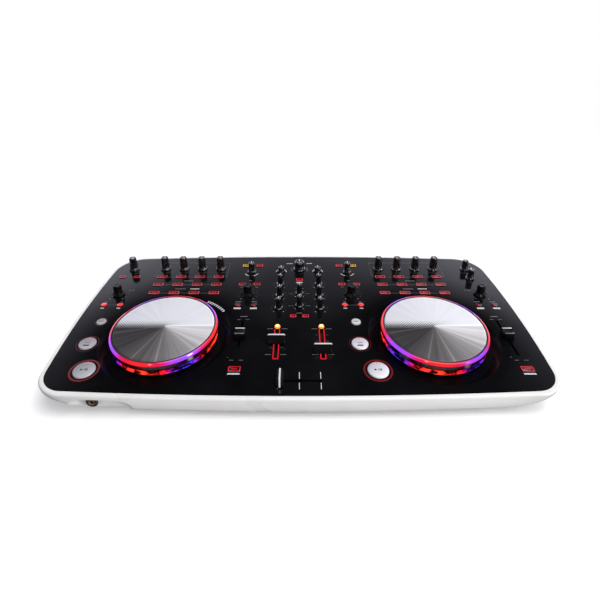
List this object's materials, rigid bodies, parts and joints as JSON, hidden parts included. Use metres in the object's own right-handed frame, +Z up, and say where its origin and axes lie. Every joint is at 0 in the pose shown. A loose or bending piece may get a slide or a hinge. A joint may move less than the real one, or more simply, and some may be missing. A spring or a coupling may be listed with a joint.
{
  "type": "dj controller",
  "caption": "Two-deck DJ controller with jog wheels, faders, knobs and keys on a tilted panel, raised at the rear over a laptop bay.",
  "frame": {"origin": "centre of the bounding box, on the surface that the feet stand on", "axes": "+X to the right as the player sees it, +Y from the player to the rear, +Z up"},
  "size_m": [0.6226, 0.3102, 0.1063],
  "materials": {
    "hull_white": "gloss",
    "panel_black": "gloss",
    "board_green": "matte",
    "component_grey": "matte",
    "steel": "satin",
    "socket_black": "matte",
    "jog_ring_red": "lit from inside",
    "disc_aluminium": "spun brushed",
    "knob_rubber": "matte",
    "knob_black": "satin",
    "cap_black": "satin",
    "lamp_red": "lit from inside",
    "key_red": "lit outline",
    "button_white": "gloss",
    "leg_white": "satin",
    "foot_rubber": "matte"
  },
  "bodies": {
    "case": {"bottom_case": "hull_white", "top_panel": "panel_black", "main_board": "board_green", "rotary_pots": "component_grey", "slide_pots": "component_grey", "key_switches": "component_grey", "case_screws": "steel", "phones_jack": "steel", "rear_sockets": "socket_black", "jog_spindles": "steel", "jog_bearings": "steel", "fader_light_guides": "lamp_red", "rear_legs": "leg_white", "rubber_feet": "foot_rubber"},
    "left_jog": {"left_jog_wheel": "jog_ring_red", "left_jog_disc": "disc_aluminium"},
    "right_jog": {"right_jog_wheel": "jog_ring_red", "right_jog_disc": "disc_aluminium"},
    "left_effect_knob_1": {"left_effect_knob_1": "knob_black"},
    "left_effect_knob_2": {"left_effect_knob_2": "knob_black"},
    "left_effect_knob_3": {"left_effect_knob_3": "knob_black"},
    "left_effect_knob_4": {"left_effect_knob_4": "knob_black"},
    "left_deck_keys": {"left_deck_keys": "key_red"},
    "left_sync_button": {"left_sync_button": "button_white"},
    "left_cue_button": {"left_cue_button": "button_white"},
    "left_play_button": {"left_play_button": "button_white"},
    "left_outer_encoder": {"left_outer_encoder": "knob_rubber"},
    "left_inner_encoder": {"left_inner_encoder": "knob_rubber"},
    "left_inner_knob": {"left_inner_knob": "knob_black"},
    "left_tempo_fader": {"left_tempo_fader": "cap_black"},
    "right_effect_knob_1": {"right_effect_knob_1": "knob_black"},
    "right_effect_knob_2": {"right_effect_knob_2": "knob_black"},
    "right_effect_knob_3": {"right_effect_knob_3": "knob_black"},
    "right_effect_knob_4": {"right_effect_knob_4": "knob_black"},
    "right_deck_keys": {"right_deck_keys": "key_red"},
    "right_sync_button": {"right_sync_button": "button_white"},
    "right_cue_button": {"right_cue_button": "button_white"},
    "right_play_button": {"right_play_button": "button_white"},
    "right_outer_encoder": {"right_outer_encoder": "knob_rubber"},
    "right_inner_encoder": {"right_inner_encoder": "knob_rubber"},
    "right_inner_knob": {"right_inner_knob": "knob_black"},
    "right_tempo_fader": {"right_tempo_fader": "cap_black"},
    "left_side_knob": {"left_side_knob": "knob_black"},
    "right_upper_side_knob": {"right_upper_side_knob": "knob_black"},
    "right_lower_side_knob": {"right_lower_side_knob": "knob_black"},
    "left_trim_knob": {"left_trim_knob": "knob_black"},
    "left_high_knob": {"left_high_knob": "knob_black"},
    "left_middle_knob": {"left_middle_knob": "knob_black"},
    "left_low_knob": {"left_low_knob": "knob_black"},
    "left_channel_fader": {"left_channel_fader": "cap_black"},
    "right_trim_knob": {"right_trim_knob": "knob_black"},
    "right_high_knob": {"right_high_knob": "knob_black"},
    "right_middle_knob": {"right_middle_knob": "knob_black"},
    "right_low_knob": {"right_low_knob": "knob_black"},
    "right_channel_fader": {"right_channel_fader": "cap_black"},
    "crossfader": {"crossfader": "cap_black"},
    "browse_knob": {"browse_knob": "knob_black"},
    "balance_knob": {"balance_knob": "knob_black"},
    "level_knob": {"level_knob": "knob_black"},
    "mixer_keys": {"mixer_keys": "key_red"}
  },
  "joints": [
    {"name": "left_jog_turn", "type": "hinge", "parent": "case", "child": "left_jog", "pos_m": [-0.175, -0.05357, 0.0498], "axis": [0, -0.1994, 0.9799], "continuous": true},
    {"name": "right_jog_turn", "type": "hinge", "parent": "case", "child": "right_jog", "pos_m": [0.175, -0.05357, 0.0498], "axis": [0, -0.1994, 0.9799], "continuous": true},
    {"name": "left_effect_knob_1_turn", "type": "hinge", "parent": "case", "child": "left_effect_knob_1", "pos_m": [-0.2203, 0.10812, 0.08269], "axis": [0, -0.1994, 0.9799], "range_deg": [-140, 140]},
    {"name": "left_effect_knob_2_turn", "type": "hinge", "parent": "case", "child": "left_effect_knob_2", "pos_m": [-0.1901, 0.10812, 0.08269], "axis": [0, -0.1994, 0.9799], "range_deg": [-140, 140]},
    {"name": "left_effect_knob_3_turn", "type": "hinge", "parent": "case", "child": "left_effect_knob_3", "pos_m": [-0.1599, 0.10812, 0.08269], "axis": [0, -0.1994, 0.9799], "range_deg": [-140, 140]},
    {"name": "left_effect_knob_4_turn", "type": "hinge", "parent": "case", "child": "left_effect_knob_4", "pos_m": [-0.1297, 0.10812, 0.08269], "axis": [0, -0.1994, 0.9799], "range_deg": [-140, 140]},
    {"name": "left_deck_keys_press", "type": "slide", "parent": "case", "child": "left_deck_keys", "axis": [0, 0.1994, -0.9799], "range_m": [0, 0.0008], "stiffness_N_per_m": 600, "springref_m": -0.0006},
    {"name": "left_sync_button_press", "type": "slide", "parent": "case", "child": "left_sync_button", "axis": [0, 0.1994, -0.9799], "range_m": [0, 0.0008], "stiffness_N_per_m": 300, "springref_m": -0.0006},
    {"name": "left_cue_button_press", "type": "slide", "parent": "case", "child": "left_cue_button", "axis": [0, 0.1994, -0.9799], "range_m": [0, 0.0008], "stiffness_N_per_m": 300, "springref_m": -0.0006},
    {"name": "left_play_button_press", "type": "slide", "parent": "case", "child": "left_play_button", "axis": [0, 0.1994, -0.9799], "range_m": [0, 0.0008], "stiffness_N_per_m": 300, "springref_m": -0.0006},
    {"name": "left_outer_encoder_turn", "type": "hinge", "parent": "case", "child": "left_outer_encoder", "pos_m": [-0.2722, 0.03805, 0.06844], "axis": [0, -0.1994, 0.9799], "continuous": true},
    {"name": "left_inner_encoder_turn", "type": "hinge", "parent": "case", "child": "left_inner_encoder", "pos_m": [-0.0778, 0.03805, 0.06844], "axis": [0, -0.1994, 0.9799], "continuous": true},
    {"name": "left_inner_knob_turn", "type": "hinge", "parent": "case", "child": "left_inner_knob", "pos_m": [-0.0778, 0.09929, 0.0809], "axis": [0, -0.1994, 0.9799], "range_deg": [-140, 140]},
    {"name": "left_tempo_fader_slide", "type": "slide", "parent": "case", "child": "left_tempo_fader", "axis": [0, 0.9799, 0.1994], "range_m": [-0.03, 0.03]},
    {"name": "right_effect_knob_1_turn", "type": "hinge", "parent": "case", "child": "right_effect_knob_1", "pos_m": [0.1297, 0.10812, 0.08269], "axis": [0, -0.1994, 0.9799], "range_deg": [-140, 140]},
    {"name": "right_effect_knob_2_turn", "type": "hinge", "parent": "case", "child": "right_effect_knob_2", "pos_m": [0.1599, 0.10812, 0.08269], "axis": [0, -0.1994, 0.9799], "range_deg": [-140, 140]},
    {"name": "right_effect_knob_3_turn", "type": "hinge", "parent": "case", "child": "right_effect_knob_3", "pos_m": [0.1901, 0.10812, 0.08269], "axis": [0, -0.1994, 0.9799], "range_deg": [-140, 140]},
    {"name": "right_effect_knob_4_turn", "type": "hinge", "parent": "case", "child": "right_effect_knob_4", "pos_m": [0.2203, 0.10812, 0.08269], "axis": [0, -0.1994, 0.9799], "range_deg": [-140, 140]},
    {"name": "right_deck_keys_press", "type": "slide", "parent": "case", "child": "right_deck_keys", "axis": [0, 0.1994, -0.9799], "range_m": [0, 0.0008], "stiffness_N_per_m": 600, "springref_m": -0.0006},
    {"name": "right_sync_button_press", "type": "slide", "parent": "case", "child": "right_sync_button", "axis": [0, 0.1994, -0.9799], "range_m": [0, 0.0008], "stiffness_N_per_m": 300, "springref_m": -0.0006},
    {"name": "right_cue_button_press", "type": "slide", "parent": "case", "child": "right_cue_button", "axis": [0, 0.1994, -0.9799], "range_m": [0, 0.0008], "stiffness_N_per_m": 300, "springref_m": -0.0006},
    {"name": "right_play_button_press", "type": "slide", "parent": "case", "child": "right_play_button", "axis": [0, 0.1994, -0.9799], "range_m": [0, 0.0008], "stiffness_N_per_m": 300, "springref_m": -0.0006},
    {"name": "right_outer_encoder_turn", "type": "hinge", "parent": "case", "child": "right_outer_encoder", "pos_m": [0.2722, 0.03805, 0.06844], "axis": [0, -0.1994, 0.9799], "continuous": true},
    {"name": "right_inner_encoder_turn", "type": "hinge", "parent": "case", "child": "right_inner_encoder", "pos_m": [0.0778, 0.03805, 0.06844], "axis": [0, -0.1994, 0.9799], "continuous": true},
    {"name": "right_inner_knob_turn", "type": "hinge", "parent": "case", "child": "right_inner_knob", "pos_m": [0.0778, 0.09929, 0.0809], "axis": [0, -0.1994, 0.9799], "range_deg": [-140, 140]},
    {"name": "right_tempo_fader_slide", "type": "slide", "parent": "case", "child": "right_tempo_fader", "axis": [0, 0.9799, 0.1994], "range_m": [-0.03, 0.03]},
    {"name": "left_side_knob_turn", "type": "hinge", "parent": "case", "child": "left_side_knob", "pos_m": [-0.2722, 0.10665, 0.08239], "axis": [0, -0.1994, 0.9799], "range_deg": [-140, 140]},
    {"name": "right_upper_side_knob_turn", "type": "hinge", "parent": "case", "child": "right_upper_side_knob", "pos_m": [0.2722, 0.10665, 0.08239], "axis": [0, -0.1994, 0.9799], "range_deg": [-140, 140]},
    {"name": "right_lower_side_knob_turn", "type": "hinge", "parent": "case", "child": "right_lower_side_knob", "pos_m": [0.2722, 0.08009, 0.07699], "axis": [0, -0.1994, 0.9799], "range_deg": [-140, 140]},
    {"name": "left_trim_knob_turn", "type": "hinge", "parent": "case", "child": "left_trim_knob", "pos_m": [-0.0297, 0.10076, 0.0812], "axis": [0, -0.1994, 0.9799], "range_deg": [-140, 140]},
    {"name": "left_high_knob_turn", "type": "hinge", "parent": "case", "child": "left_high_knob", "pos_m": [-0.0297, 0.0647, 0.07386], "axis": [0, -0.1994, 0.9799], "range_deg": [-140, 140]},
    {"name": "left_middle_knob_turn", "type": "hinge", "parent": "case", "child": "left_middle_knob", "pos_m": [-0.0297, 0.03491, 0.0678], "axis": [0, -0.1994, 0.9799], "range_deg": [-140, 140]},
    {"name": "left_low_knob_turn", "type": "hinge", "parent": "case", "child": "left_low_knob", "pos_m": [-0.0297, 0.00513, 0.06174], "axis": [0, -0.1994, 0.9799], "range_deg": [-140, 140]},
    {"name": "left_channel_fader_slide", "type": "slide", "parent": "case", "child": "left_channel_fader", "axis": [0, 0.9799, 0.1994], "range_m": [-0.026, 0.019]},
    {"name": "right_trim_knob_turn", "type": "hinge", "parent": "case", "child": "right_trim_knob", "pos_m": [0.0297, 0.10076, 0.0812], "axis": [0, -0.1994, 0.9799], "range_deg": [-140, 140]},
    {"name": "right_high_knob_turn", "type": "hinge", "parent": "case", "child": "right_high_knob", "pos_m": [0.0297, 0.0647, 0.07386], "axis": [0, -0.1994, 0.9799], "range_deg": [-140, 140]},
    {"name": "right_middle_knob_turn", "type": "hinge", "parent": "case", "child": "right_middle_knob", "pos_m": [0.0297, 0.03491, 0.0678], "axis": [0, -0.1994, 0.9799], "range_deg": [-140, 140]},
    {"name": "right_low_knob_turn", "type": "hinge", "parent": "case", "child": "right_low_knob", "pos_m": [0.0297, 0.00513, 0.06174], "axis": [0, -0.1994, 0.9799], "range_deg": [-140, 140]},
    {"name": "right_channel_fader_slide", "type": "slide", "parent": "case", "child": "right_channel_fader", "axis": [0, 0.9799, 0.1994], "range_m": [-0.009, 0.036]},
    {"name": "crossfader_slide", "type": "slide", "parent": "case", "child": "crossfader", "axis": [1, 0, 0], "range_m": [0, 0.045]},
    {"name": "browse_knob_turn", "type": "hinge", "parent": "case", "child": "browse_knob", "pos_m": [0, 0.10762, 0.08259], "axis": [0, -0.1994, 0.9799], "continuous": true},
    {"name": "balance_knob_turn", "type": "hinge", "parent": "case", "child": "balance_knob", "pos_m": [0, 0.04001, 0.06884], "axis": [0, -0.1994, 0.9799], "range_deg": [-140, 140]},
    {"name": "level_knob_turn", "type": "hinge", "parent": "case", "child": "level_knob", "pos_m": [0, 0.01061, 0.06285], "axis": [0, -0.1994, 0.9799], "range_deg": [-140, 140]},
    {"name": "mixer_keys_press", "type": "slide", "parent": "case", "child": "mixer_keys", "axis": [0, 0.1994, -0.9799], "range_m": [0, 0.0008], "stiffness_N_per_m": 300, "springref_m": -0.0006}
  ]
}
